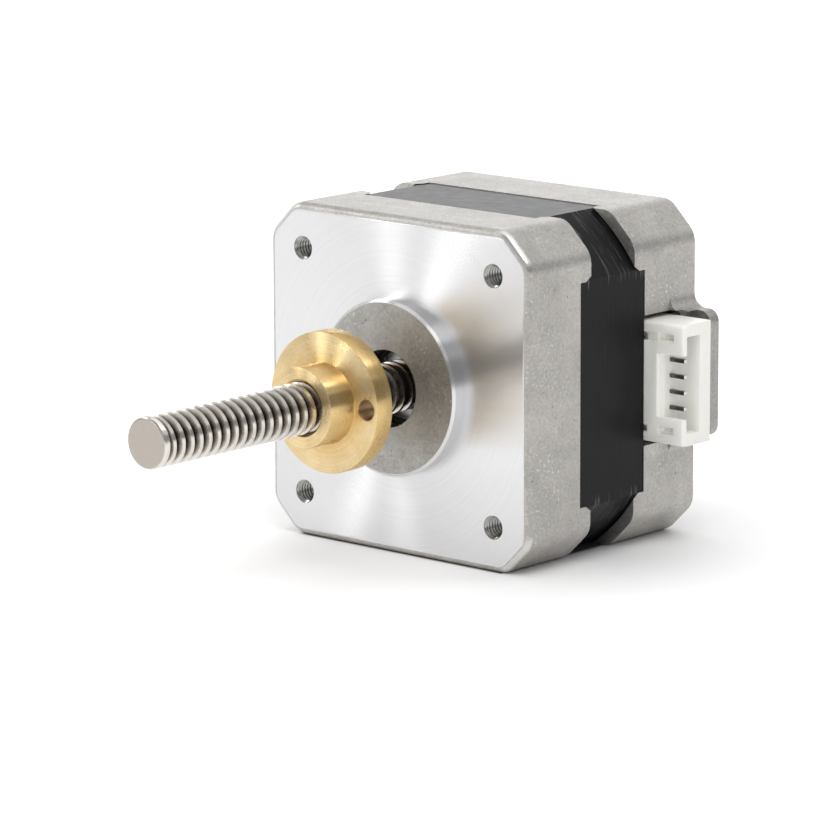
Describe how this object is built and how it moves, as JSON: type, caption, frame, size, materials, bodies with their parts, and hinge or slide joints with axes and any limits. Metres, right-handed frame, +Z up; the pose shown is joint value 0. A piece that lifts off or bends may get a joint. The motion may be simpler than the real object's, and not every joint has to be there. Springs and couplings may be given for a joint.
{
  "type": "lead screw stepper motor",
  "caption": "Square hybrid stepper motor with a threaded lead screw for a shaft, a flanged brass nut on the screw and a shrouded pin header on the side; turning the screw drives the nut.",
  "frame": {"origin": "centre of the front mounting face, on the shaft axis", "axes": "-Y along the screw, out of the mounting face; +X out of the connector's mouth; +Z up"},
  "size_m": [0.0483, 0.077, 0.0424],
  "materials": {
    "cast_aluminium": "satin",
    "laminations": "matte",
    "insulator_plastic": "matte",
    "copper_wire": "satin",
    "screw_steel": "satin",
    "bearing_steel": "polished",
    "stainless": "satin",
    "rotor_steel": "satin",
    "magnet": "satin",
    "brass": "satin",
    "pin_metal": "satin",
    "connector_plastic": "matte",
    "board": "matte"
  },
  "bodies": {
    "housing": {"front_cap": "cast_aluminium", "rear_cap": "cast_aluminium", "stator_stack": "laminations", "front_insulator": "insulator_plastic", "rear_insulator": "insulator_plastic", "phase_a_coils": "copper_wire", "phase_b_coils": "copper_wire", "case_screws": "screw_steel", "front_bearing_outer_ring": "bearing_steel", "rear_bearing_outer_ring": "bearing_steel", "wave_washer": "screw_steel", "connector_pins": "pin_metal", "connector_housing": "connector_plastic", "winding_board": "board"},
    "rotor": {"lead_screw": "stainless", "rotor_cup_front": "rotor_steel", "rotor_cup_rear": "rotor_steel", "rotor_magnet": "magnet", "front_spacer": "rotor_steel", "rear_spacer": "rotor_steel", "front_bearing_inner_ring": "bearing_steel", "rear_bearing_inner_ring": "bearing_steel"},
    "nut": {"lead_nut": "brass"}
  },
  "joints": [
    {"name": "rotor_spin", "type": "hinge", "parent": "housing", "child": "rotor", "pos_m": [0, 0, 0], "axis": [0, 1, 0], "range_deg": [-1980, 6120]},
    {"name": "nut_travel", "type": "slide", "parent": "housing", "child": "nut", "axis": [0, -1, 0], "range_m": [-0.00825, 0.0255]}
  ],
  "couplings": [
    {"joint": "nut_travel", "follows": "rotor_spin", "m_per_rad": 0.00023873}
  ]
}
